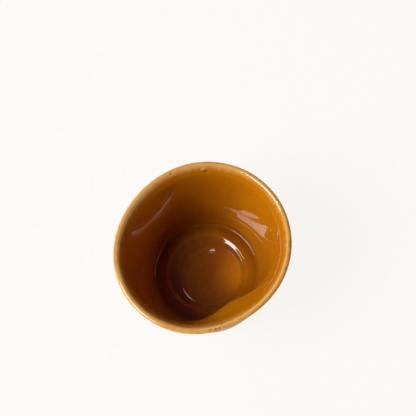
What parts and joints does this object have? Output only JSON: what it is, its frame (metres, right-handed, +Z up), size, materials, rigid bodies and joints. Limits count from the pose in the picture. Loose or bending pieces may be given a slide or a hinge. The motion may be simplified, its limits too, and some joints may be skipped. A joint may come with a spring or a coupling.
{
  "type": "cortado cup",
  "caption": "Small handleless stoneware cup with amber glaze, an oval rim and a finger dimple on each side, for short coffee drinks.",
  "frame": {"origin": "on the table under the middle of the cup, at the bottom centre of its bounding box", "axes": "+Z up out of the mouth, X along the long axis of the oval rim, Y through the two dimples, the thumb dimple towards +Y"},
  "size_m": [0.0834, 0.0783, 0.061],
  "materials": {
    "clay": "bare fired buff stoneware, matt and slightly grainy",
    "inner_glaze": "transparent amber glaze, glossy, thin and tan on the lip, pooled dark on the floor",
    "outer_glaze": "transparent amber glaze, glossy",
    "underside_glaze": "transparent amber glaze, glossy"
  },
  "bodies": {
    "root": {"stoneware_body": "clay", "inner_glaze": "inner_glaze", "outer_glaze": "outer_glaze", "underside_glaze": "underside_glaze"}
  },
  "joints": []
}
